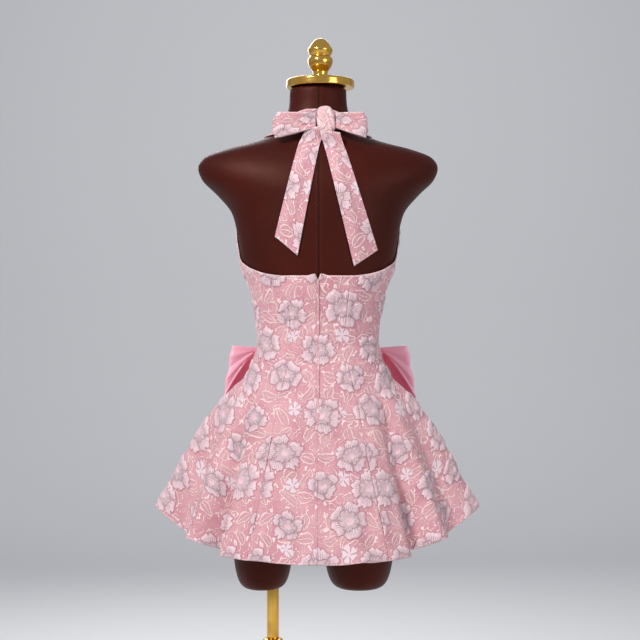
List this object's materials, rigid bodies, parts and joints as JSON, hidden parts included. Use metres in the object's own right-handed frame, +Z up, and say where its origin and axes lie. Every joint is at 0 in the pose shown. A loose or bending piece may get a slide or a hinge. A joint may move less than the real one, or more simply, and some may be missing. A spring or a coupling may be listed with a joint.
{
  "type": "cocktail dress on a limbless dress form with a stand",
  "caption": "Short halter cocktail dress with a flared skirt, tied at the nape and bowed at the waist, on a limbless dress form with a neck cap, pole and round base.",
  "frame": {"origin": "on the floor under the middle of the base's underside", "axes": "+Z up, -Y the way the wearer faces, +X to the wearer's left"},
  "size_m": [0.5462, 0.3886, 1.5723],
  "materials": {
    "jacquard": "raised-flower jacquard, dusty pink with white flowers",
    "satin": "pink satin with a soft sheen",
    "form_cover": "burgundy-brown stitched cover with a soft sheen",
    "brass": "polished"
  },
  "bodies": {
    "root": {"form_body": "form_cover", "neck_plate": "brass", "finial": "brass", "pole": "brass", "pole_collar": "brass", "pole_tube": "brass", "base": "brass", "front": "jacquard", "back_left": "jacquard", "back_right": "jacquard", "side_back_left": "jacquard", "side_back_right": "jacquard", "side_front_left": "jacquard", "side_front_right": "jacquard", "neck_band": "jacquard", "zip": "jacquard", "neck_bow_knot": "jacquard", "neck_bow_loop_left": "jacquard", "neck_bow_loop_right": "jacquard", "neck_tail_left": "jacquard", "neck_tail_right": "jacquard", "waist_bow_knot": "satin", "waist_bow_loop_left": "satin", "waist_bow_loop_right": "satin"}
  },
  "joints": []
}
